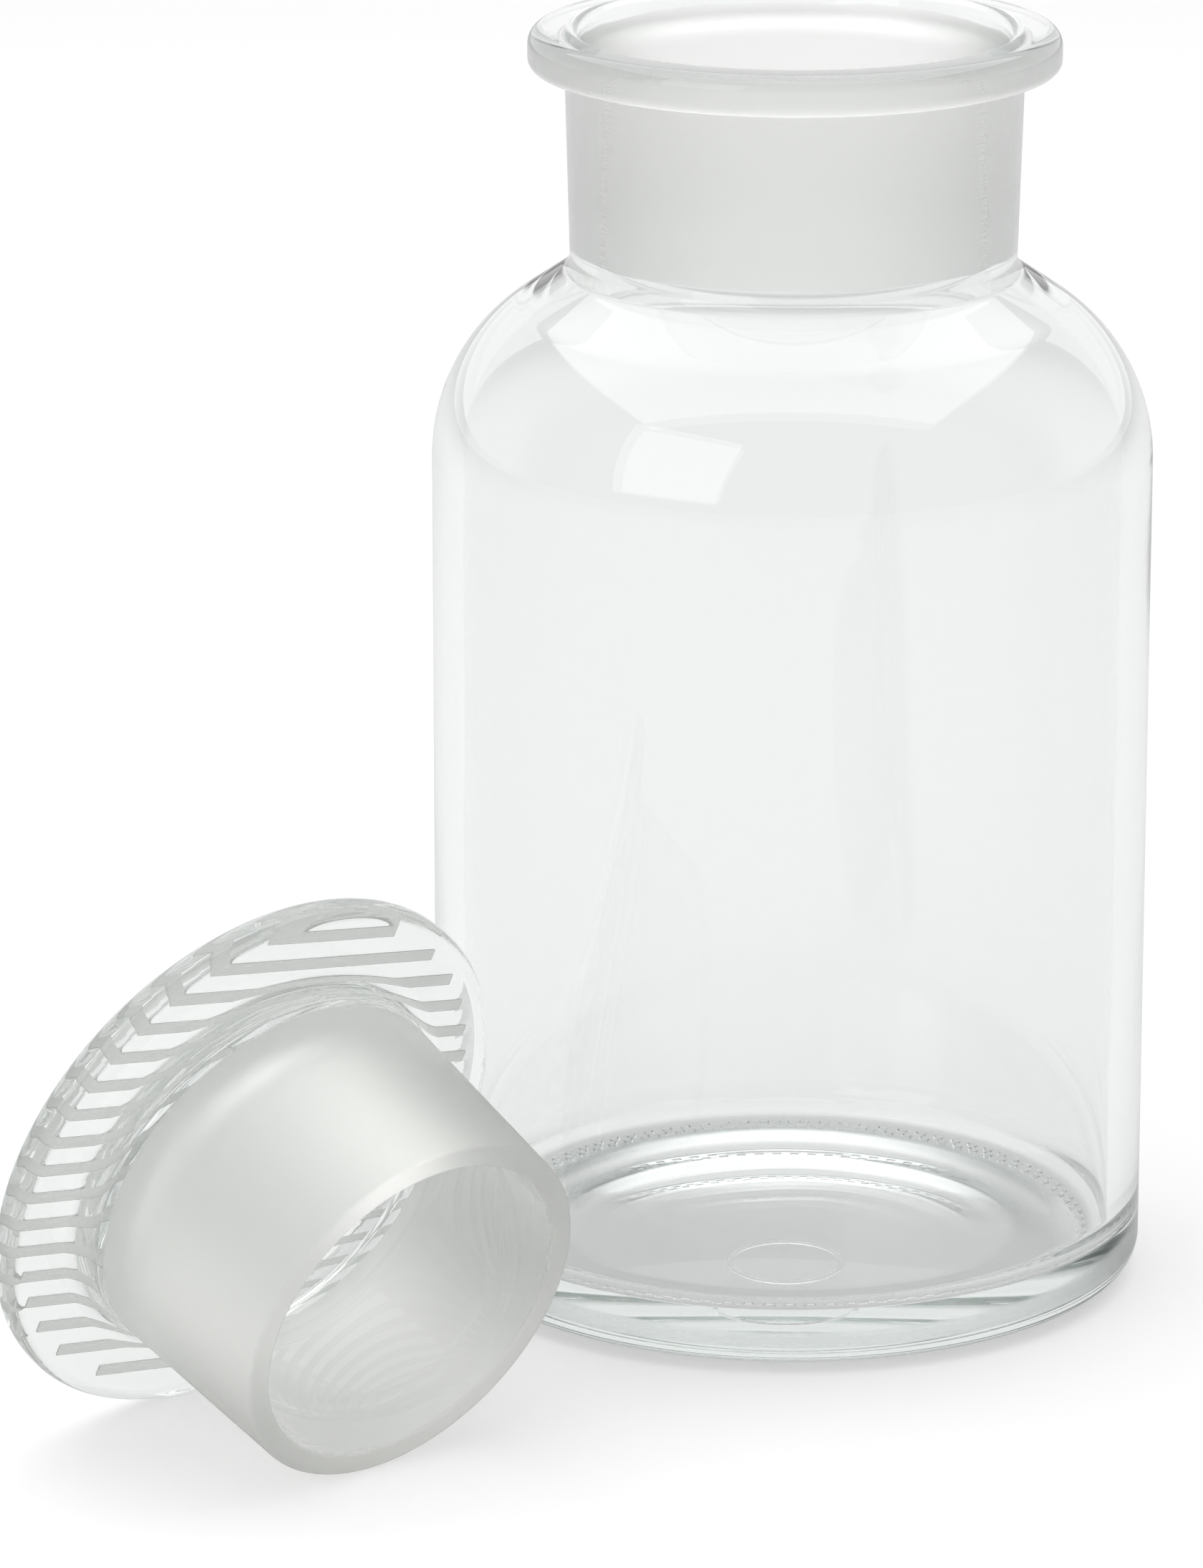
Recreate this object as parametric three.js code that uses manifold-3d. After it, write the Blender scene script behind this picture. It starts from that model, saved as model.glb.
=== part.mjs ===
// Stoppered wide-mouth glass bottle of one litre, with its hollow ground stopper
// taken out and lying beside it. Millimetres, +Z up. The pair rests on z = 0 and
// its box is centred on x = 0, y = 0.
import * as THREE from 'three';
import { mergeVertices } from 'three/addons/utils/BufferGeometryUtils.js';
import Module from 'manifold-3d';

// Bottle body
const bottleHeight = 190;
const bodyDiameter = 107;
const bodyWall = 4.5;
const heelRadius = 5.5;
const bearingWidth = 5; // flat ring that the bottle stands on
const pushUp = 4; // rise of the underside at the axis
const floorThickness = 4.2; // glass at the axis
const floorEdgeHeight = 8; // inner floor at the inner heel
const innerHeelRadius = 5;

// Shoulder and neck
const shoulderRadius = 28.4;
const shoulderSlope = 34; // degrees above the horizontal, where it runs straight
const neckLength = 27.8; // from the foot of the neck to the underside of the lip
const neckFillet = 3;
const neckFootWall = 4.7;
const neckTopWall = 4.1;
const innerNeckRound = 6;

// Lip and mouth
const lipHeight = 6;
const lipOverhang = 5.45; // beyond the outside of the neck
const lipTopRound = 2.4;
const lipUnderRound = 1.6;
const lipUnderFillet = 1.2;
const mouthFlare = 2; // the mouth is this much wider than the ground bore, each side
const mouthRound = 2;
const flareDepth = 6.7; // from the top of the lip to the ground bore

// Ground joint, which the bore and the plug share
const jointDiameter = 59.3; // at the top of the ground bore
const jointTaper = 0.1; // change of diameter over length
const jointClearance = 0.05; // each side
const groundFootRise = 0.6; // the ground bore ends this far above the foot of the neck
const seatGap = 1.1; // between the head and the lip when the stopper is in

// Stopper
const plugGroundLength = 33;
const plugWall = 3.6;
const plugEndRound = 0.6;
const hollowRound = 9;
const crownThickness = 8; // glass over the hollow, without the ribs
const headOverhang = 3.3; // beyond the lip, all round
const headThickness = 5;
const headEdgeRound = 2;
const headFillet = 4.8;

// Pressed ribs on the head
const ribPitch = 4.6;
const ribWidth = 1.8;
const ribCrest = 1.6;
const ribHeight = 0.3;
const ribRoot = 0.4; // how deep a rib's foot runs into the head
const ribBorder = 3.7; // plain border between the ribs and the edge of the head
const ribTurn = 99.5; // degrees about the stopper's axis

// Where the stopper lies
const restBearing = 222; // degrees, seen from the bottle's axis
const restGap = 9.8; // between the bottle's side and the head's edge, in plan
const restHeading = -47.9; // degrees, the way the plug points in plan

const latheSegments = 56;
const roundSteps = 3;
const shoulderSteps = 7;
const domeSteps = 6;

const { degToRad } = THREE.MathUtils;
const wasm = await Module();
wasm.setup();

// Points on an arc, angles in degrees from +r towards +z
function arc(r, z, radius, from, to, steps) {
  const points = [];
  for (let i = 0; i <= steps; i += 1) {
    const angle = degToRad(from + ((to - from) * i) / steps);
    points.push(new THREE.Vector2(r + radius * Math.cos(angle), z + radius * Math.sin(angle)));
  }
  return points;
}

function point(r, z) {
  return new THREE.Vector2(r, z);
}

// A shallow dome from the axis out to a rim
function dome(rimRadius, rimHeight, rise) {
  const points = [];
  for (let i = 0; i < domeSteps; i += 1) {
    const share = i / domeSteps;
    points.push(point(rimRadius * share, rimHeight + rise * (1 - share ** 2)));
  }
  return points;
}

// Revolve a profile of (radius, height) points about Z
function revolve(profile) {
  const geometry = new THREE.LatheGeometry(profile, latheSegments);
  geometry.rotateX(Math.PI / 2);
  return geometry;
}

// Closed geometry to a solid for joining
function toSolid(geometry) {
  const bare = geometry.clone();
  bare.deleteAttribute('normal');
  bare.deleteAttribute('uv');
  const merged = mergeVertices(bare);
  const corners = merged.index.array;
  const triVerts = [];
  for (let i = 0; i < corners.length; i += 3) {
    const [a, b, c] = [corners[i], corners[i + 1], corners[i + 2]];
    if (a !== b && b !== c && c !== a) {
      triVerts.push(a, b, c);
    }
  }
  return new wasm.Manifold(new wasm.Mesh({
    numProp: 3,
    vertProperties: new Float32Array(merged.attributes.position.array),
    triVerts: new Uint32Array(triVerts),
  }));
}

function toGeometry(solid) {
  const mesh = solid.getMesh();
  const geometry = new THREE.BufferGeometry();
  geometry.setAttribute('position', new THREE.BufferAttribute(mesh.vertProperties, mesh.numProp));
  geometry.setIndex(new THREE.BufferAttribute(mesh.triVerts, 1));
  geometry.computeVertexNormals();
  return geometry;
}

// Sizes that follow from the ones above
const bodyRadius = bodyDiameter / 2;
const boreTopZ = bottleHeight - flareDepth;
const lipUnderZ = bottleHeight - lipHeight;
const neckFootZ = lipUnderZ - neckLength;
const boreFootZ = neckFootZ + groundFootRise;
const boreTopRadius = jointDiameter / 2;
const boreFootRadius = boreTopRadius - ((boreTopZ - boreFootZ) * jointTaper) / 2;
const neckFootRadius = boreFootRadius + neckFootWall;
const neckTopRadius = boreTopRadius + neckTopWall;
const lipRadius = neckTopRadius + lipOverhang;
const mouthRadius = boreTopRadius + mouthFlare;
const headRadius = lipRadius + headOverhang;

// Bottle: the outside from the axis under the base up to the lip, then down the inside
function bottleProfile() {
  const turn = 90 - shoulderSlope;
  const sink = 1 - Math.cos(degToRad(turn));
  const climb = Math.sin(degToRad(turn));
  const shoulderWidth = bodyRadius - neckFootRadius - neckFillet * sink;
  const round = Math.min(shoulderRadius, shoulderWidth / sink);
  const slopeRun = shoulderWidth - round * sink;
  const slopeRise = slopeRun * Math.tan(degToRad(shoulderSlope));
  const shoulderZ = neckFootZ - neckFillet * climb - slopeRise - round * climb;
  const innerRadius = bodyRadius - bodyWall;
  const innerRound = Math.max(round - bodyWall, 1);
  const bearingOuter = bodyRadius - heelRadius;
  const innerFloorRadius = innerRadius - innerHeelRadius;
  const innerFloorRise = pushUp + floorThickness - floorEdgeHeight;
  const outside = [
    ...dome(bearingOuter - bearingWidth, 0, pushUp),
    point(bearingOuter - bearingWidth, 0),
    ...arc(bearingOuter, heelRadius, heelRadius, -90, 0, roundSteps + 1),
    ...arc(bodyRadius - round, shoulderZ, round, 0, turn, shoulderSteps),
    ...arc(neckFootRadius + neckFillet, neckFootZ, neckFillet, 180 + turn, 180, roundSteps),
    point(neckTopRadius, lipUnderZ - lipUnderFillet),
    point(neckTopRadius + lipUnderFillet, lipUnderZ),
    ...arc(lipRadius - lipUnderRound, lipUnderZ + lipUnderRound, lipUnderRound, -90, 0, roundSteps),
    ...arc(lipRadius - lipTopRound, bottleHeight - lipTopRound, lipTopRound, 0, 90, roundSteps),
  ];
  const inside = [
    ...arc(mouthRadius + mouthRound, bottleHeight - mouthRound, mouthRound, 90, 180, roundSteps),
    point(boreTopRadius, boreTopZ),
    ...arc(boreFootRadius + innerNeckRound, boreFootZ, innerNeckRound, 180, 180 + turn, roundSteps),
    ...arc(innerRadius - innerRound, shoulderZ, innerRound, turn, 0, shoulderSteps),
    ...arc(innerFloorRadius, floorEdgeHeight + innerHeelRadius, innerHeelRadius, 0, -90, roundSteps + 1),
    ...dome(innerFloorRadius, floorEdgeHeight, innerFloorRise).reverse(),
  ];
  return [...outside, ...inside];
}

// Stopper, upright, with its origin at the middle of the head's top face
const plugProud = flareDepth + seatGap - headFillet;
const plugTopRadius = boreTopRadius + (plugProud * jointTaper) / 2 - jointClearance;
const plugEndRadius = plugTopRadius - (plugGroundLength * jointTaper) / 2;
const headUnderZ = -headThickness;
const plugTopZ = headUnderZ - headFillet;
const plugEndZ = plugTopZ - plugGroundLength;

function stopperProfile() {
  const hollowEndRadius = plugEndRadius - plugWall;
  const hollowTopRadius = plugTopRadius - plugWall;
  const headEdge = headRadius - headEdgeRound;
  return [
    point(0, -crownThickness),
    ...arc(hollowTopRadius - hollowRound, -crownThickness - hollowRound, hollowRound, 90, 0, roundSteps + 1),
    ...arc(hollowEndRadius + plugEndRound, plugEndZ + plugEndRound, plugEndRound, 180, 270, 1),
    ...arc(plugEndRadius - plugEndRound, plugEndZ + plugEndRound, plugEndRound, -90, 0, 2),
    ...arc(plugTopRadius + headFillet, plugTopZ, headFillet, 180, 90, roundSteps),
    ...arc(headEdge, headUnderZ + headEdgeRound, headEdgeRound, -90, 0, roundSteps),
    ...arc(headEdge, -headEdgeRound, headEdgeRound, 0, 90, roundSteps),
    point(0, 0),
  ];
}

// One pressed rib along X, its foot sunk into the head and its ends on the border circle
function rib(offset, fieldRadius) {
  const length = 2 * Math.sqrt(fieldRadius ** 2 - offset ** 2);
  const section = new THREE.Shape([
    point(-ribWidth / 2, -ribRoot),
    point(ribWidth / 2, -ribRoot),
    point(ribWidth / 2, 0),
    point(ribCrest / 2, ribHeight),
    point(-ribCrest / 2, ribHeight),
    point(-ribWidth / 2, 0),
  ]);
  const geometry = new THREE.ExtrudeGeometry(section, { depth: length, bevelEnabled: false });
  geometry.translate(offset, 0, -length / 2);
  geometry.rotateX(Math.PI / 2);
  geometry.rotateZ(degToRad(ribTurn - 90));
  return geometry;
}

function stopperGeometry() {
  const fieldRadius = headRadius - ribBorder;
  const sideCount = Math.floor((fieldRadius - ribWidth) / ribPitch);
  let solid = toSolid(revolve(stopperProfile()));
  for (let i = -sideCount; i <= sideCount; i += 1) {
    solid = solid.add(toSolid(rib(i * ribPitch, fieldRadius)));
  }
  return toGeometry(solid);
}

// The stopper lies on the edge of its head and the edge of its plug's end
function restTilt() {
  const along = headUnderZ + headEdgeRound - (plugEndZ + plugEndRound);
  const across = headRadius - headEdgeRound - (plugEndRadius - plugEndRound);
  const roundStep = headEdgeRound - plugEndRound;
  return Math.atan2(across, along) + Math.asin(roundStep / Math.hypot(along, across));
}

const bottleGlass = new THREE.MeshStandardMaterial({
  color: 0xe3e9e6, roughness: 0.05, metalness: 0,
});
const stopperGlass = new THREE.MeshStandardMaterial({
  color: 0xd9dddb, roughness: 0.35, metalness: 0,
});

const bottle = new THREE.Mesh(revolve(bottleProfile()), bottleGlass);
bottle.name = 'bottle';

const stopper = new THREE.Mesh(stopperGeometry(), stopperGlass);
stopper.name = 'stopper';
const tilt = restTilt();
stopper.rotation.y = tilt - Math.PI / 2;

const stopperRest = new THREE.Group();
const restDistance = bodyRadius + headRadius + restGap;
const restAngle = degToRad(restBearing);
const headEdgeRise = (headRadius - headEdgeRound) * Math.cos(tilt) + headEdgeRound;
stopperRest.position.set(
  restDistance * Math.cos(restAngle),
  restDistance * Math.sin(restAngle),
  headEdgeRise + (headThickness - headEdgeRound) * Math.sin(tilt),
);
stopperRest.rotation.z = degToRad(restHeading);
stopperRest.add(stopper);

const pair = new THREE.Group();
pair.add(bottle, stopperRest);
pair.updateMatrixWorld(true);
const box = new THREE.Box3().setFromObject(pair, true);
pair.position.set(-(box.min.x + box.max.x) / 2, -(box.min.y + box.max.y) / 2, -box.min.z);

export default pair;
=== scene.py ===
import bpy
import math
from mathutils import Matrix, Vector


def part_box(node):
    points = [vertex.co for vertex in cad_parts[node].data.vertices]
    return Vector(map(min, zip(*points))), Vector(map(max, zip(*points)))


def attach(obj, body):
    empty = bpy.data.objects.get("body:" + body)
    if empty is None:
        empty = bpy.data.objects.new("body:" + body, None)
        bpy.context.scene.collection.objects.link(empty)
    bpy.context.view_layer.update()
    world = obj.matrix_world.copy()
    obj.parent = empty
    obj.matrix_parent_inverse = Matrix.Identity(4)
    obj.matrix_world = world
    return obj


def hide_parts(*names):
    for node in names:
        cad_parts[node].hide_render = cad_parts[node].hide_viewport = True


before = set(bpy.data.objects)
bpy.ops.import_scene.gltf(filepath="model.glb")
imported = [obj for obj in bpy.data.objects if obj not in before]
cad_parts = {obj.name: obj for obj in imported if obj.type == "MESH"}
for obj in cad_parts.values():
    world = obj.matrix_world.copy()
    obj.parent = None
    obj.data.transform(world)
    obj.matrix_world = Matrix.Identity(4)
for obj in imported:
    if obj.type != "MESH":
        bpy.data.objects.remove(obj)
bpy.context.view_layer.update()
mm = 0.001
far = 1.0  # metres, past either end of a piece
mergeDistance = 0.002 * mm
noiseMiddle = 0.5


# Shader maths: a wire is one output socket, and sums on wires add Math nodes
class Wire:
    def __init__(self, tree, socket=None):
        self.tree = tree
        self.socket = socket

    def node(self, kind, settings=None, sockets=None, output=0):
        made = self.tree.nodes.new(kind)
        for name, value in (settings or {}).items():
            setattr(made, name, value)
        for name, value in (sockets or {}).items():
            if isinstance(value, Wire):
                self.tree.links.new(value.socket, made.inputs[name])
            else:
                made.inputs[name].default_value = value
        return Wire(self.tree, made.outputs[output] if made.outputs else None)

    def maths(self, operation, first, second=0.0):
        return self.node("ShaderNodeMath", {"operation": operation}, {0: first, 1: second})

    def __add__(self, other):
        return self.maths("ADD", self, other)

    def __radd__(self, other):
        return self.maths("ADD", other, self)

    def __sub__(self, other):
        return self.maths("SUBTRACT", self, other)

    def __rsub__(self, other):
        return self.maths("SUBTRACT", other, self)

    def __mul__(self, other):
        return self.maths("MULTIPLY", self, other)

    def __rmul__(self, other):
        return self.maths("MULTIPLY", other, self)


def along(start, vector, axis):  # how far a vector goes along an axis
    return start.node("ShaderNodeVectorMath", {"operation": "DOT_PRODUCT"}, {
        0: vector, 1: axis}, output="Value")


def ease(start, value, zeroAt, oneAt):  # from 0 to 1 with soft ends
    return start.node("ShaderNodeMapRange", {"interpolation_type": "SMOOTHSTEP"}, {
        "Value": value, "From Min": zeroAt, "From Max": oneAt})


def band(start, value, low, high, soft):  # 1 between low and high, with soft ends
    return ease(start, value, low - soft, low + soft) * ease(start, value, high + soft, high - soft)


# Modelling helpers
def clearSelection():
    if bpy.context.object and bpy.context.object.mode != "OBJECT":
        bpy.ops.object.mode_set(mode="OBJECT")
    bpy.ops.object.select_all(action="DESELECT")


def pickOnly(piece):
    clearSelection()
    piece.select_set(True)
    bpy.context.view_layer.objects.active = piece


def arc(r, z, acrossRadius, fromDegrees, toDegrees, steps, upRadius=None):  # points of a profile, in mm
    points = []
    for i in range(steps + 1):
        angle = math.radians(fromDegrees + (toDegrees - fromDegrees) * i / steps)
        rise = (upRadius or acrossRadius) * math.sin(angle)
        points.append((r + acrossRadius * math.cos(angle), z + rise))
    return points


def dome(rimRadius, rimHeight, rise, steps):  # from the axis out to just inside the rim
    points = []
    for i in range(steps):
        share = i / steps
        points.append((rimRadius * share, rimHeight + rise * (1 - share ** 2)))
    return points


def turnPiece(name, profile, steps):  # a chain of vertices, extruded point by point and spun about Z
    clearSelection()
    bpy.ops.mesh.primitive_plane_add(size=mm, location=(0, 0, 0))
    piece = bpy.context.object
    piece.name = name
    bpy.ops.object.mode_set(mode="EDIT")
    bpy.ops.mesh.select_mode(type="VERT")
    bpy.ops.mesh.select_all(action="SELECT")
    bpy.ops.mesh.merge(type="CENTER")
    last = (0.0, 0.0)
    for place, (r, z) in enumerate(profile):
        step = ((r - last[0]) * mm, 0, (z - last[1]) * mm)
        if place == 0:
            bpy.ops.transform.translate(value=step)
        else:
            bpy.ops.mesh.extrude_vertices_move(TRANSFORM_OT_translate={"value": step})
        last = (r, z)
    bpy.ops.mesh.select_all(action="SELECT")
    bpy.ops.mesh.spin(steps=steps, angle=2 * math.pi, center=(0, 0, 0), axis=(0, 0, 1))
    bpy.ops.mesh.select_all(action="SELECT")
    bpy.ops.mesh.remove_doubles(threshold=mergeDistance)  # closes the seam and the poles
    bpy.ops.mesh.normals_make_consistent(inside=False)
    bpy.ops.object.mode_set(mode="OBJECT")
    return piece


def selectFaces(piece, wanted):  # by a test on a face's centre and normal, and ends in edit mode
    for face in piece.data.polygons:
        face.select = wanted(face.center, face.normal)
    for edge in piece.data.edges:
        edge.select = False
    for vertex in piece.data.vertices:
        vertex.select = False
    bpy.ops.object.mode_set(mode="EDIT")
    bpy.ops.mesh.select_mode(type="FACE")


def joinInto(piece, addition):  # one closed skin round both
    pickOnly(piece)
    bpy.ops.object.modifier_add(type="BOOLEAN")
    union = piece.modifiers[-1]
    union.operation = "UNION"
    union.solver = "MANIFOLD"
    union.object = addition
    bpy.ops.object.modifier_apply(modifier=union.name)
    bpy.data.objects.remove(addition)


def setDown(piece, place, turn):  # the place goes into the mesh, and the object stays at the origin
    piece.rotation_euler = turn
    piece.location = place
    pickOnly(piece)
    bpy.ops.object.transform_apply(location=True, rotation=True, scale=True)


def dress(piece, material, smoothAngle):
    piece.data.materials.clear()
    piece.data.materials.append(material)
    pickOnly(piece)
    bpy.ops.object.shade_smooth_by_angle(angle=math.radians(smoothAngle))


# Sizes that both pieces take from the frame
bottleLow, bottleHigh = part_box("bottle")
axisX = (bottleLow.x + bottleHigh.x) / 2
axisY = (bottleLow.y + bottleHigh.y) / 2
bodyRadius = (bottleHigh.x - bottleLow.x) / 2 / mm
bottleHeight = bottleHigh.z / mm

joint = {  # the ground neck and the plug, mm
    "diameter": 59.3,
    "taper": 0.1,
    "clearance": 0.05,
    "flareDepth": 6.7,
    "seatGap": 1.1,
}
boreTopRadius = joint["diameter"] / 2
boreTopZ = bottleHeight - joint["flareDepth"]


# Glass, with masks from zones for the ground zone, the crests of the ribs and the uneven foot
def glassMaterial(name, look, zones):
    material = bpy.data.materials.new(name)
    material.use_nodes = True
    tree = material.node_tree
    tree.nodes.clear()
    start = Wire(tree)
    place = start.node("ShaderNodeTexCoord", output="Object")
    place = start.node("ShaderNodeMapping", {"vector_type": "TEXTURE"}, {
        "Vector": place, "Location": look["centre"], "Rotation": look["turn"]})
    ground, crests, foot = zones(start, place, look)
    matt = start.maths("MAXIMUM", ground, crests)

    # slow waves in the clear glass, and rings cut by the grinding
    wave = start.node("ShaderNodeTexNoise", None, {
        "Vector": place, "Scale": look["waveScale"], "Detail": 1.0, "Roughness": 0.4})
    grain = start.node("ShaderNodeTexNoise", None, {
        "Vector": place, "Scale": look["grainScale"], "Detail": 3.0, "Roughness": 0.6})
    stretched = start.node("ShaderNodeMapping", None, {"Vector": place, "Scale": look["ringScale"]})
    rings = start.node("ShaderNodeTexNoise", None, {
        "Vector": stretched, "Scale": 1.0, "Detail": 3.0, "Roughness": 0.65})
    mist = start.node("ShaderNodeTexNoise", None, {
        "Vector": place, "Scale": look["mistScale"], "Detail": 4.0, "Roughness": 0.6})

    clearRoughness = look["clearRoughness"] + look["mistRoughness"] * mist
    groundRoughness = look["groundRoughness"] + look["ringRoughness"] * (rings - noiseMiddle)
    roughness = clearRoughness + ground * (groundRoughness - clearRoughness)
    roughness = roughness + crests * (look["crestRoughness"] - clearRoughness)

    waved = start.node("ShaderNodeBump", None, {
        "Height": wave * (1 + foot * look["footWaves"]),
        "Strength": 1.0, "Distance": look["waveDepth"] * mm})
    cut = start.node("ShaderNodeBump", None, {
        "Height": matt * (rings * look["ringShare"] + grain * (1 - look["ringShare"])),
        "Strength": look["groundBump"], "Distance": look["grainDepth"] * mm, "Normal": waved})

    colour = look["clearColour"]
    # the foot and ground tints mix in here, and so does the painted shade on the ribs' crests
    for mask, zoneColour in ((foot, "footColour"), (ground, "groundColour"), (crests, "crestShadeColour")):
        colour = start.node("ShaderNodeMix", {"data_type": "RGBA"}, {  # factor, two colours, colour out
            0: mask, 6: colour, 7: look[zoneColour]}, output=2)
    shader = start.node("ShaderNodeBsdfPrincipled", None, {
        "Base Color": colour, "Roughness": roughness, "IOR": look["ior"],
        "Transmission Weight": 1.0, "Normal": cut})
    depth = start.node("ShaderNodeVolumeAbsorption", None, {
        "Color": look["depthColour"], "Density": look["depthDensity"]})
    start.node("ShaderNodeOutputMaterial", None, {"Surface": shader, "Volume": depth})
    return material


def turnedPlace(start, place):  # distance from the piece's axis, and height along it
    flat = start.node("ShaderNodeVectorMath", {"operation": "MULTIPLY"}, {0: place, 1: (1, 1, 0)})
    reach = start.node("ShaderNodeVectorMath", {"operation": "LENGTH"}, {0: flat}, output="Value")
    return reach, along(start, place, (0, 0, 1))


def raggedHeight(start, place, height, look):  # the grinding doesn't end on a clean line
    ragged = start.node("ShaderNodeTexNoise", None, {
        "Vector": place, "Scale": look["raggedScale"], "Detail": 2.0})
    return height + (ragged - noiseMiddle) * (look["raggedDepth"] * mm)


# Bottle
bottle = {  # mm and degrees
    "heelRadius": 5.5,
    "bearingWidth": 5.0,
    "bearingRise": 0.45,  # the plain part of the foot ring is this far above the table
    "pushUp": 4.0,
    "bodyWall": 4.5,
    "floorThickness": 4.2,
    "floorEdgeHeight": 8.0,
    "innerHeelRadius": 5.0,
    "shoulderRadius": 28.4,
    "shoulderSlope": 34.0,
    "neckLength": 27.8,
    "neckFillet": 3.0,
    "neckFootWall": 4.7,
    "neckTopWall": 4.1,
    "innerNeckRound": 6.0,
    "groundFootRise": 0.6,
    "lipHeight": 6.0,
    "lipOverhang": 5.45,
    "lipTopRound": 2.4,
    "lipUnderRound": 1.6,
    "lipUnderFillet": 1.2,
    "mouthFlare": 2.0,
    "mouthRound": 2.0,
    "spinSteps": 360,
    "domeSteps": 24,  # points along each curve of the profile
    "heelSteps": 14,
    "shoulderSteps": 28,
    "neckFilletSteps": 10,
    "innerNeckSteps": 12,
    "lipFilletSteps": 6,
    "lipUnderSteps": 8,
    "lipTopSteps": 12,
    "mouthSteps": 10,
    "knurlRows": (44.6, 46.4),  # inner radius of each row of foot marks
    "knurlWidth": 1.2,
    "knurlEvery": 4,  # spin steps from one foot mark to the next
    "knurlSteps": 2,
    "knurlInset": 0.25,
    "downFacing": -0.9,  # a face of the foot ring has its normal below this
    "mouldRing": 8.3,  # radius of the plain ring under the base
    "mouldRingPlace": (0.0, -21.0),
    "mouldRingWidth": 0.8,
    "mouldRingHeight": 0.3,
    "mouldRingCrest": 1.3,  # the middle of its face, in heights
    "mouldRingSteps": 72,
    "smoothAngle": 35.0,
}
lipUnderZ = bottleHeight - bottle["lipHeight"]
neckFootZ = lipUnderZ - bottle["neckLength"]
boreFootZ = neckFootZ + bottle["groundFootRise"]
boreFootRadius = boreTopRadius - (boreTopZ - boreFootZ) * joint["taper"] / 2
neckFootRadius = boreFootRadius + bottle["neckFootWall"]
neckTopRadius = boreTopRadius + bottle["neckTopWall"]
lipRadius = neckTopRadius + bottle["lipOverhang"]
footOuter = bodyRadius - bottle["heelRadius"]
footInner = footOuter - bottle["bearingWidth"]


def bottleProfile():
    b = bottle
    turn = 90 - b["shoulderSlope"]
    sink = 1 - math.cos(math.radians(turn))
    climb = math.sin(math.radians(turn))
    slope = math.tan(math.radians(b["shoulderSlope"]))
    shoulderWidth = bodyRadius - neckFootRadius - b["neckFillet"] * sink
    slopeRise = (shoulderWidth - b["shoulderRadius"] * sink) * slope
    shoulderZ = neckFootZ - (b["neckFillet"] + b["shoulderRadius"]) * climb - slopeRise
    innerRadius = bodyRadius - b["bodyWall"]
    innerRound = b["shoulderRadius"] - b["bodyWall"]
    rise = b["bearingRise"]
    floorRadius = innerRadius - b["innerHeelRadius"]
    floorRise = b["pushUp"] + b["floorThickness"] - b["floorEdgeHeight"]
    mouth = boreTopRadius + b["mouthFlare"] + b["mouthRound"]
    outside = dome(footInner, rise, b["pushUp"] - rise, b["domeSteps"])
    outside += [(footInner, rise)]
    for inner in b["knurlRows"]:
        outside += [(inner, rise), (inner + b["knurlWidth"], rise)]
    outside += arc(footOuter, b["heelRadius"], b["heelRadius"], -90, 0,
                   b["heelSteps"], b["heelRadius"] - rise)
    outside += arc(bodyRadius - b["shoulderRadius"], shoulderZ, b["shoulderRadius"], 0, turn,
                   b["shoulderSteps"])
    outside += arc(neckFootRadius + b["neckFillet"], neckFootZ, b["neckFillet"], 180 + turn, 180,
                   b["neckFilletSteps"])
    outside += arc(neckTopRadius + b["lipUnderFillet"], lipUnderZ - b["lipUnderFillet"],
                   b["lipUnderFillet"], 180, 90, b["lipFilletSteps"])
    outside += arc(lipRadius - b["lipUnderRound"], lipUnderZ + b["lipUnderRound"],
                   b["lipUnderRound"], -90, 0, b["lipUnderSteps"])
    outside += arc(lipRadius - b["lipTopRound"], bottleHeight - b["lipTopRound"],
                   b["lipTopRound"], 0, 90, b["lipTopSteps"])
    inside = arc(mouth, bottleHeight - b["mouthRound"], b["mouthRound"], 90, 180, b["mouthSteps"])
    inside += [(boreTopRadius, boreTopZ)]
    inside += arc(boreFootRadius + b["innerNeckRound"], boreFootZ, b["innerNeckRound"], 180, 180 + turn,
                  b["innerNeckSteps"])
    inside += arc(innerRadius - innerRound, shoulderZ, innerRound, turn, 0, b["shoulderSteps"])
    inside += arc(floorRadius, b["floorEdgeHeight"] + b["innerHeelRadius"], b["innerHeelRadius"], 0, -90,
                  b["heelSteps"])
    inside += dome(floorRadius, b["floorEdgeHeight"], floorRise, b["domeSteps"])[::-1]
    return outside + inside


def knurlFoot(piece):  # staggered rows of small pads round the foot ring, on which the bottle stands
    b = bottle
    turnPerStep = 2 * math.pi / b["spinSteps"]

    def isPad(centre, normal):
        r = math.hypot(centre.x, centre.y) / mm
        step = int((math.atan2(centre.y, centre.x) % (2 * math.pi)) / turnPerStep)
        for row, inner in enumerate(b["knurlRows"]):
            onRow = inner < r < inner + b["knurlWidth"] and normal.z < b["downFacing"]
            if onRow and (step + row * b["knurlSteps"]) % b["knurlEvery"] < b["knurlSteps"]:
                return True
        return False

    pickOnly(piece)
    selectFaces(piece, isPad)
    bpy.ops.mesh.inset(thickness=b["knurlInset"] * mm, use_individual=False)
    bpy.ops.transform.translate(value=(0, 0, -b["bearingRise"] * mm))
    bpy.ops.object.mode_set(mode="OBJECT")


def underside(r):  # height of the pushed-up base, mm
    return bottle["bearingRise"] + (bottle["pushUp"] - bottle["bearingRise"]) * (1 - (r / footInner) ** 2)


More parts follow.
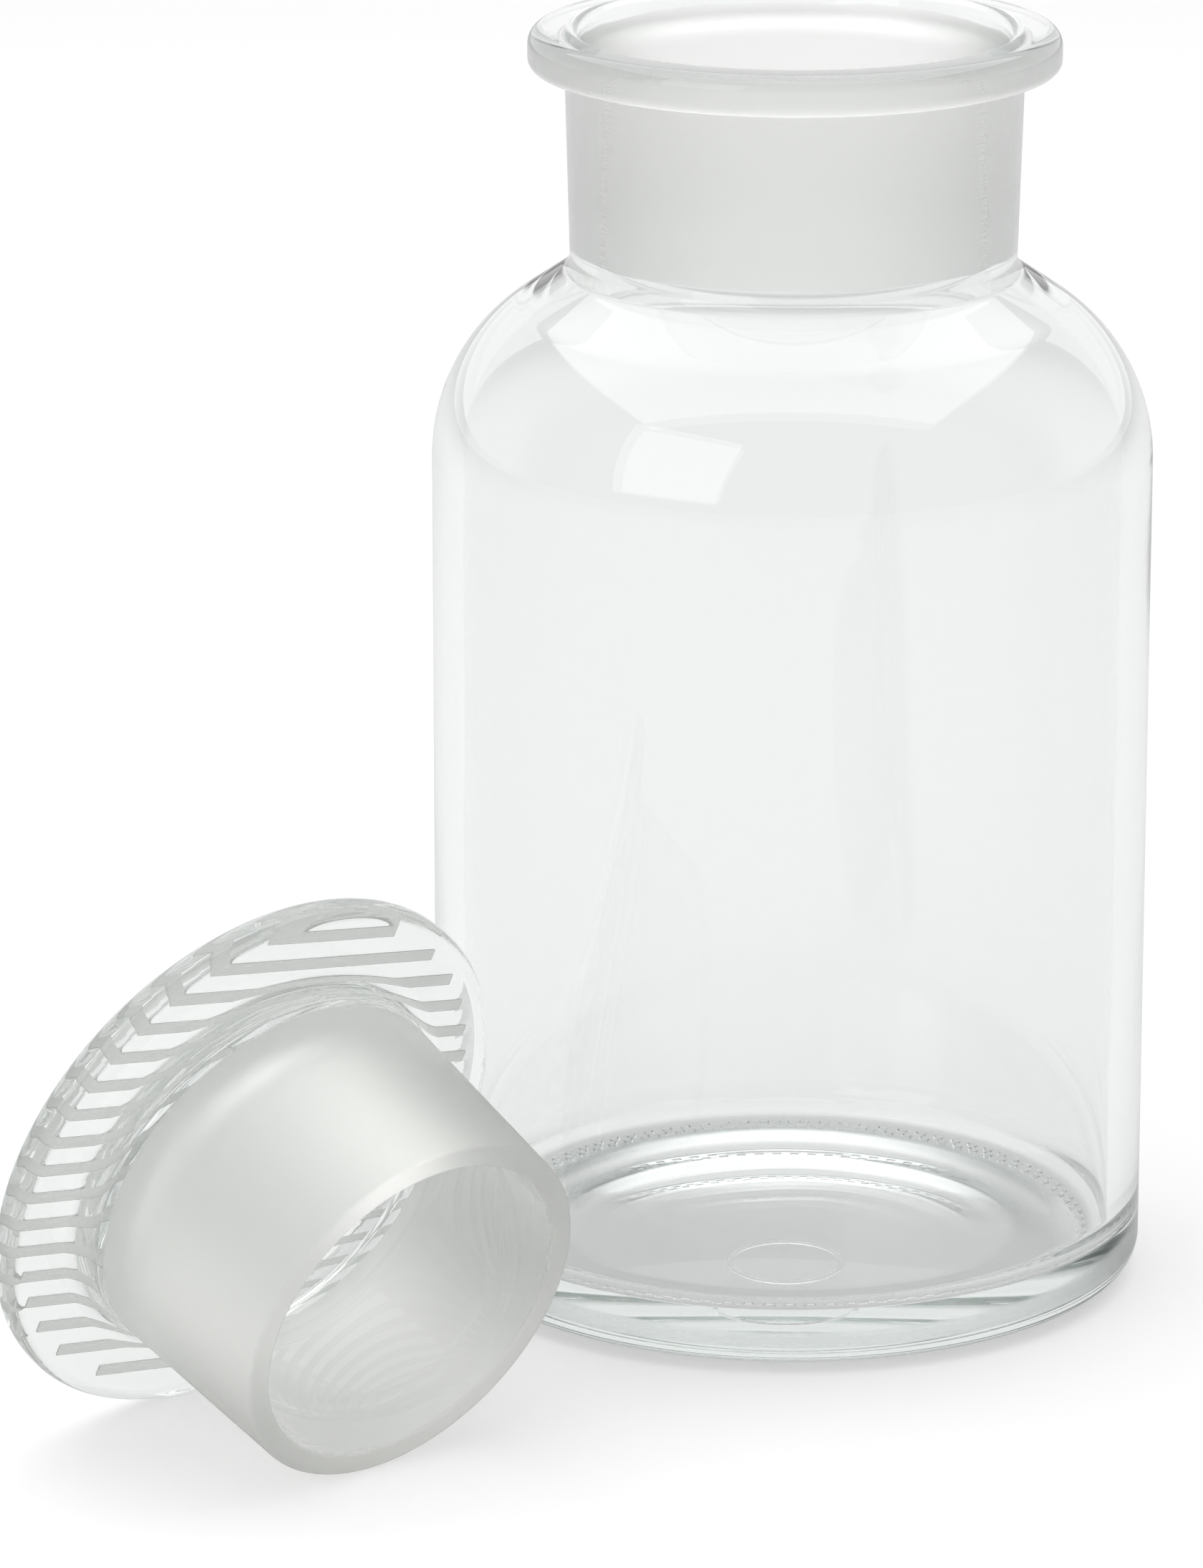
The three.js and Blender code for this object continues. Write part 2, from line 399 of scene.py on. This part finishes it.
def mouldRing(piece):  # the plain raised ring that a mould leaves under the base
    b = bottle
    inner = b["mouldRing"] - b["mouldRingWidth"] / 2
    outer = b["mouldRing"] + b["mouldRingWidth"] / 2
    section = [(inner, 1), (inner, -1), (b["mouldRing"], -b["mouldRingCrest"]),
               (outer, -1), (outer, 1), (inner, 1)]  # radius in mm, and heights from the base
    ring = turnPiece("mould_ring", section, b["mouldRingSteps"])
    sideways, forwards = b["mouldRingPlace"]
    for vertex in ring.data.vertices:
        vertex.co.x += sideways * mm
        vertex.co.y += forwards * mm
        r = math.hypot(vertex.co.x, vertex.co.y) / mm
        vertex.co.z = (underside(r) + vertex.co.z / mm * b["mouldRingHeight"]) * mm
    joinInto(piece, ring)


bottleLook = {  # mm, unless said
    "centre": (axisX, axisY, 0),
    "turn": (0, 0, 0),
    "ior": 1.52,
    "clearColour": (0.912, 0.921, 0.918, 1),
    "depthColour": (0.7, 0.76, 0.735, 1),  # thick glass is a little green
    "depthDensity": 6.0,  # per metre
    "groundColour": (1.0, 1.0, 0.985, 1),
    "clearRoughness": 0.0,
    "mistRoughness": 0.03,
    "mistScale": 60.0,
    "groundRoughness": 0.7,
    "ringRoughness": 0.2,
    "waveScale": 22.0,
    "waveDepth": 0.25,
    "grainScale": 2500.0,
    "grainDepth": 0.03,
    "ringScale": (30.0, 30.0, 1800.0),
    "ringShare": 0.7,  # of the ground zone's bump, and the grain has the rest
    "groundBump": 0.5,
    "groundReach": 32.4,  # from the axis: only the bore and its flare are matt
    "groundTop": 2.2,  # below the top of the lip
    "groundSoft": 0.25,
    "raggedScale": 90.0,
    "raggedDepth": 1.2,
    "crestShadeColour": (0.6, 0.62, 0.595, 1),  # painted shade: the ribs' matt crests are tinted grey for the shade they show; only the stopper has ribs
    "crestRoughness": 0.9,
    "footTop": 14.0,  # above the table: the pressed glass is uneven below
    "footWaves": 2.0,
    "footColour": (1.0, 1.0, 1.0, 1),
    "scuff": 0.4,  # the underside is half matt towards the foot ring
    "scuffFrom": 34.0,
    "scuffSoft": 2.0,
    "scuffTopSoft": 0.2,
}


def bottleZones(start, place, look):
    reach, height = turnedPlace(start, place)
    soft = look["groundSoft"] * mm
    groundTop = bottleHeight - look["groundTop"]
    level = raggedHeight(start, place, height, look)
    ground = band(start, level, boreFootZ * mm, groundTop * mm, soft)
    ground = ground * band(start, reach, 0.0, look["groundReach"] * mm, soft)
    foot = ease(start, height, look["footTop"] * mm, 0.0)
    ring = band(start, reach, look["scuffFrom"] * mm, footInner * mm, look["scuffSoft"] * mm)
    under = band(start, height, -far, bottle["pushUp"] * mm, look["scuffTopSoft"] * mm)
    return start.maths("MAXIMUM", ground, ring * under * look["scuff"]), 0.0, foot


bottleGlass = glassMaterial("bottle_glass", bottleLook, bottleZones)
bottlePiece = turnPiece("bottle_body", bottleProfile(), bottle["spinSteps"])
knurlFoot(bottlePiece)
mouldRing(bottlePiece)
setDown(bottlePiece, bottleLook["centre"], bottleLook["turn"])
dress(bottlePiece, bottleGlass, bottle["smoothAngle"])
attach(bottlePiece, "bottle")
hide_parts("bottle")
print("bottle:", len(bottlePiece.data.polygons), "faces")


# Stopper
stopper = {  # mm and degrees, upright with its origin at the middle of the head's top face
    "plugGroundLength": 33.0,
    "plugWall": 3.6,
    "plugEndRound": 0.6,
    "hollowRound": 9.0,
    "crownThickness": 8.0,
    "headOverhang": 3.3,
    "headThickness": 5.0,
    "headEdgeRound": 2.0,
    "headFillet": 4.8,  # the ground zone starts this far under the head
    "lookFillet": 3.4,  # the fillet shows tighter, with a clear strip above the ground zone
    "facetAllowance": 0.08,  # the solid's head has flat facets, and the round one stays inside its box
    "endAllowance": 0.02,  # and so does the end of the plug
    "hollowSteps": 16,  # points along each curve of the profile
    "endSteps": 5,
    "filletSteps": 14,
    "edgeSteps": 10,
    "ribPitch": 4.6,
    "ribWidth": 1.8,
    "ribHeight": 0.3,
    "ribRoot": 0.4,
    "ribRound": 0.12,
    "ribRoundSteps": 2,
    "ribBorder": 3.7,
    "ribTurn": 99.5,
    "restBearing": 222.0,
    "restGap": 9.8,
    "restHeading": -47.9,
    "spinSteps": 288,
    "smoothAngle": 35.0,
}
headRadius = lipRadius + stopper["headOverhang"]
plugProud = joint["flareDepth"] + joint["seatGap"] - stopper["headFillet"]
plugTopRadius = boreTopRadius + plugProud * joint["taper"] / 2 - joint["clearance"]
plugEndRadius = plugTopRadius - stopper["plugGroundLength"] * joint["taper"] / 2
headUnderZ = -stopper["headThickness"]
plugTopZ = headUnderZ - stopper["headFillet"]
plugEndZ = plugTopZ - stopper["plugGroundLength"]


def stopperProfile():
    s = stopper
    hollowEndRadius = plugEndRadius - s["plugWall"]
    hollowTopRadius = plugTopRadius - s["plugWall"]
    headEdge = headRadius - s["headEdgeRound"] - s["facetAllowance"]
    endRound = s["plugEndRound"]
    points = [(0, -s["crownThickness"])]
    points += arc(hollowTopRadius - s["hollowRound"], -s["crownThickness"] - s["hollowRound"],
                  s["hollowRound"], 90, 0, s["hollowSteps"])
    points += arc(hollowEndRadius + endRound, plugEndZ + endRound, endRound, 180, 270, s["endSteps"])
    points += arc(plugEndRadius - endRound - s["endAllowance"], plugEndZ + endRound, endRound, -90, 0,
                  s["endSteps"])
    points += [(plugTopRadius, plugTopZ)]
    points += arc(plugTopRadius + s["lookFillet"], headUnderZ - s["lookFillet"], s["lookFillet"], 180, 90,
                  s["filletSteps"])
    points += arc(headEdge, headUnderZ + s["headEdgeRound"], s["headEdgeRound"], -90, 0, s["edgeSteps"])
    points += arc(headEdge, -s["headEdgeRound"], s["headEdgeRound"], 0, 90, s["edgeSteps"])
    points += [(0, 0)]
    return points


def ribBar():  # one pressed rib along X, with a rounded crest and its foot in the head
    s = stopper
    tall = s["ribHeight"] + s["ribRoot"]
    clearSelection()
    bpy.ops.mesh.primitive_cube_add(size=1, location=(0, 0, 0))
    bar = bpy.context.object
    bar.name = "rib"
    bar.scale = (2 * s["ribWidth"] * mm, s["ribWidth"] * mm, tall * mm)
    bar.location = (0, 0, (s["ribHeight"] - tall / 2) * mm)
    bpy.ops.object.transform_apply(location=True, rotation=True, scale=True)
    for edge in bar.data.edges:
        ends = [bar.data.vertices[v].co for v in edge.vertices]
        edge.select = all(co.z > 0 for co in ends)
    bpy.ops.object.mode_set(mode="EDIT")
    bpy.ops.mesh.select_mode(type="EDGE")
    bpy.ops.mesh.bevel(offset=s["ribRound"] * mm, segments=s["ribRoundSteps"])
    bpy.ops.object.mode_set(mode="OBJECT")
    return bar


def ribField():  # copies of the bar, each drawn out to the border circle
    s = stopper
    fieldRadius = headRadius - s["ribBorder"]
    sideCount = math.floor((fieldRadius - s["ribWidth"]) / s["ribPitch"])
    first = ribBar()
    bars = []
    for i in range(-sideCount, sideCount + 1):
        offset = i * s["ribPitch"]
        reach = math.sqrt(fieldRadius ** 2 - offset ** 2) - s["ribWidth"]
        bar = first.copy()
        bar.data = first.data.copy()
        bpy.context.scene.collection.objects.link(bar)
        for vertex in bar.data.vertices:
            vertex.co.x += math.copysign(reach * mm, vertex.co.x)
            vertex.co.y += offset * mm
        bars.append(bar)
    bpy.data.objects.remove(first)
    pickOnly(bars[0])
    for bar in bars:
        bar.select_set(True)
    bpy.ops.object.join()
    field = bpy.context.object
    field.rotation_euler = (0, 0, math.radians(s["ribTurn"]))
    bpy.ops.object.transform_apply(location=True, rotation=True, scale=True)
    return field


def restTilt():  # the stopper lies on the edge of its head and the edge of its plug's end
    s = stopper
    downPlug = headUnderZ + s["headEdgeRound"] - (plugEndZ + s["plugEndRound"])
    across = headRadius - s["headEdgeRound"] - (plugEndRadius - s["plugEndRound"])
    roundStep = s["headEdgeRound"] - s["plugEndRound"]
    return math.atan2(across, downPlug) + math.asin(roundStep / math.hypot(downPlug, across))


tilt = restTilt()
restDistance = bodyRadius + headRadius + stopper["restGap"]
restAngle = math.radians(stopper["restBearing"])
headEdgeRise = (headRadius - stopper["headEdgeRound"]) * math.cos(tilt) + stopper["headEdgeRound"]
restRise = headEdgeRise + (stopper["headThickness"] - stopper["headEdgeRound"]) * math.sin(tilt)
restPlace = (axisX + restDistance * math.cos(restAngle) * mm,
             axisY + restDistance * math.sin(restAngle) * mm,
             restRise * mm)
restTurn = (0, tilt - math.pi / 2, math.radians(stopper["restHeading"]))

stopperLook = {  # the rest as on the bottle
    **bottleLook,
    "centre": restPlace,
    "turn": restTurn,
    # painted shade: the stopper's clear glass is tinted darker than the bottle's same glass, to take down
    # the window's reflection in its head
    "clearColour": (0.87, 0.882, 0.876, 1),
    "groundColour": (1.0, 1.0, 0.98, 1),
    "groundRoughness": 0.8,
    "depthDensity": 3.0,
    "groundSoft": 0.3,
    "raggedDepth": 0.8,
    "innerReach": 1.2,  # inside the plug's outside: the matt skin ends there
    "endSoft": 0.1,
    "crestFrom": 0.1,  # above the head's top face
    "crestSoft": 0.04,
}


def stopperZones(start, place, look):
    reach, height = turnedPlace(start, place)
    soft = look["groundSoft"] * mm
    level = raggedHeight(start, place, height, look)
    below = band(start, level, -far, plugTopZ * mm, soft)
    outside = band(start, reach, (plugEndRadius - look["innerReach"]) * mm, far, soft)
    endTop = plugEndZ + stopper["plugEndRound"] / 2
    endRim = band(start, height, -far, endTop * mm, look["endSoft"] * mm)
    crests = band(start, height, look["crestFrom"] * mm, far, look["crestSoft"] * mm)
    return below * start.maths("MAXIMUM", outside, endRim), crests, 0.0


stopperGlass = glassMaterial("stopper_glass", stopperLook, stopperZones)
stopperPiece = turnPiece("stopper_body", stopperProfile(), stopper["spinSteps"])
joinInto(stopperPiece, ribField())
setDown(stopperPiece, restPlace, restTurn)
dress(stopperPiece, stopperGlass, stopper["smoothAngle"])
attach(stopperPiece, "stopper")
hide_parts("stopper")
print("stopper:", len(stopperPiece.data.polygons), "faces")


# Stage
stage = {  # metres, and radiance where white is 1
    "floorSize": 12.0,
    "floorDrop": 0.0001,
    "floorColour": (0.6, 0.6, 0.6, 1),
    "floorLift": 0.3,  # added for rays that look at the floor, so that it reads white
    "frontLift": 0.17,  # added in front, where the white wall lights it less
    "frontFrom": 0.2,
    "frontTo": -0.2,
    "scrimSize": (1.8, 1.8),
    "scrimPlace": (0.0, 0.4, 1.1),
    "scrimTarget": (0.0, 0.4, 0.0),
    "scrimGlow": 1.1,
    "windowSize": (0.95, 1.0),
    "windowPlace": (-0.85, -1.0, 0.75),
    "windowTarget": (0.0, 0.0, 0.13),
    "windowGlow": 1.2,
    "roomGrey": 0.52,  # the wall behind is white, and the room in front is grey
    "backFrom": -0.1,
    "backTo": 0.3,
    "glassBounces": 40,  # light goes round many times inside the thick foot
    "diffuseBounces": 4,
}


def fromCamera(start):
    return start.node("ShaderNodeLightPath", output="Is Camera Ray")


def throughGlass(start):
    return start.node("ShaderNodeLightPath", output="Is Transmission Ray")


def makeFloor():
    clearSelection()
    bpy.ops.mesh.primitive_plane_add(size=stage["floorSize"], location=(0, 0, -stage["floorDrop"]))
    floor = bpy.context.object
    floor.name = "floor"
    material = bpy.data.materials.new("floor_white")
    material.use_nodes = True
    tree = material.node_tree
    tree.nodes.clear()
    start = Wire(tree)
    looks = start.maths("MAXIMUM", fromCamera(start), throughGlass(start))
    place = start.node("ShaderNodeTexCoord", output="Object")
    front = ease(start, along(start, place, (0, 1, 0)), stage["frontFrom"], stage["frontTo"])
    lift = looks * (stage["floorLift"] + stage["frontLift"] * front)
    diffuse = start.node("ShaderNodeBsdfDiffuse", None, {"Color": stage["floorColour"]})
    glow = start.node("ShaderNodeEmission", None, {"Color": (1, 1, 1, 1), "Strength": lift})
    both = start.node("ShaderNodeAddShader", None, {0: diffuse, 1: glow})
    start.node("ShaderNodeOutputMaterial", None, {"Surface": both})
    floor.data.materials.append(material)


def makeSoftbox(name):  # its glow is its brightness as the glass mirrors it
    clearSelection()
    place = Vector(stage[name + "Place"])
    wide, tall = stage[name + "Size"]
    bpy.ops.object.light_add(type="AREA", location=place)
    lamp = bpy.context.object
    lamp.name = name
    lamp.data.shape = "RECTANGLE"
    lamp.data.size = wide
    lamp.data.size_y = tall
    lamp.data.energy = stage[name + "Glow"] * math.pi * wide * tall
    aim = Vector(stage[name + "Target"]) - place
    lamp.rotation_euler = aim.to_track_quat("-Z", "Y").to_euler()


def makeWorld():  # the camera sees white all round
    world = bpy.data.worlds.new("studio")
    bpy.context.scene.world = world
    world.use_nodes = True
    tree = world.node_tree
    tree.nodes.clear()
    start = Wire(tree)
    way = start.node("ShaderNodeTexCoord", output="Generated")
    near = ease(start, along(start, way, (0, 1, 0)), stage["backTo"], stage["backFrom"])
    room = 1 - near * (1 - stage["roomGrey"])
    strength = room + fromCamera(start) * (1 - room)
    light = start.node("ShaderNodeBackground", None, {"Color": (1, 1, 1, 1), "Strength": strength})
    start.node("ShaderNodeOutputWorld", None, {"Surface": light})


view = {  # the camera's place is from the bottle's axis on the table, m and degrees
    "place": (0.0072, -1.150, 0.4069),
    "pitch": 16.12,
    "yaw": 1.77,
    "lens": 121.87,
    "filmHeight": 24.0,
    "clipEnd": 50.0,
}


def makeCamera():
    clearSelection()
    bpy.ops.object.camera_add(location=(0, 0, 0))
    eye = bpy.context.object
    eye.name = "photo_camera"
    eye.data.sensor_fit = "VERTICAL"
    eye.data.sensor_height = view["filmHeight"]
    eye.data.lens = view["lens"]
    eye.data.clip_end = view["clipEnd"]
    side, depth, height = view["place"]
    eye.location = (axisX + side, axisY + depth, height)
    eye.rotation_euler = (math.radians(90 - view["pitch"]), 0, math.radians(view["yaw"]))
    bpy.context.scene.camera = eye


makeFloor()
makeSoftbox("scrim")
makeSoftbox("window")
makeWorld()
makeCamera()
scene = bpy.context.scene
scene.view_settings.view_transform = "Standard"
scene.cycles.max_bounces = stage["glassBounces"]
scene.cycles.transmission_bounces = stage["glassBounces"]
scene.cycles.glossy_bounces = stage["glassBounces"]
scene.cycles.diffuse_bounces = stage["diffuseBounces"]
print("stage: floor, scrim, window, world and camera")

bpy.context.view_layer.update()
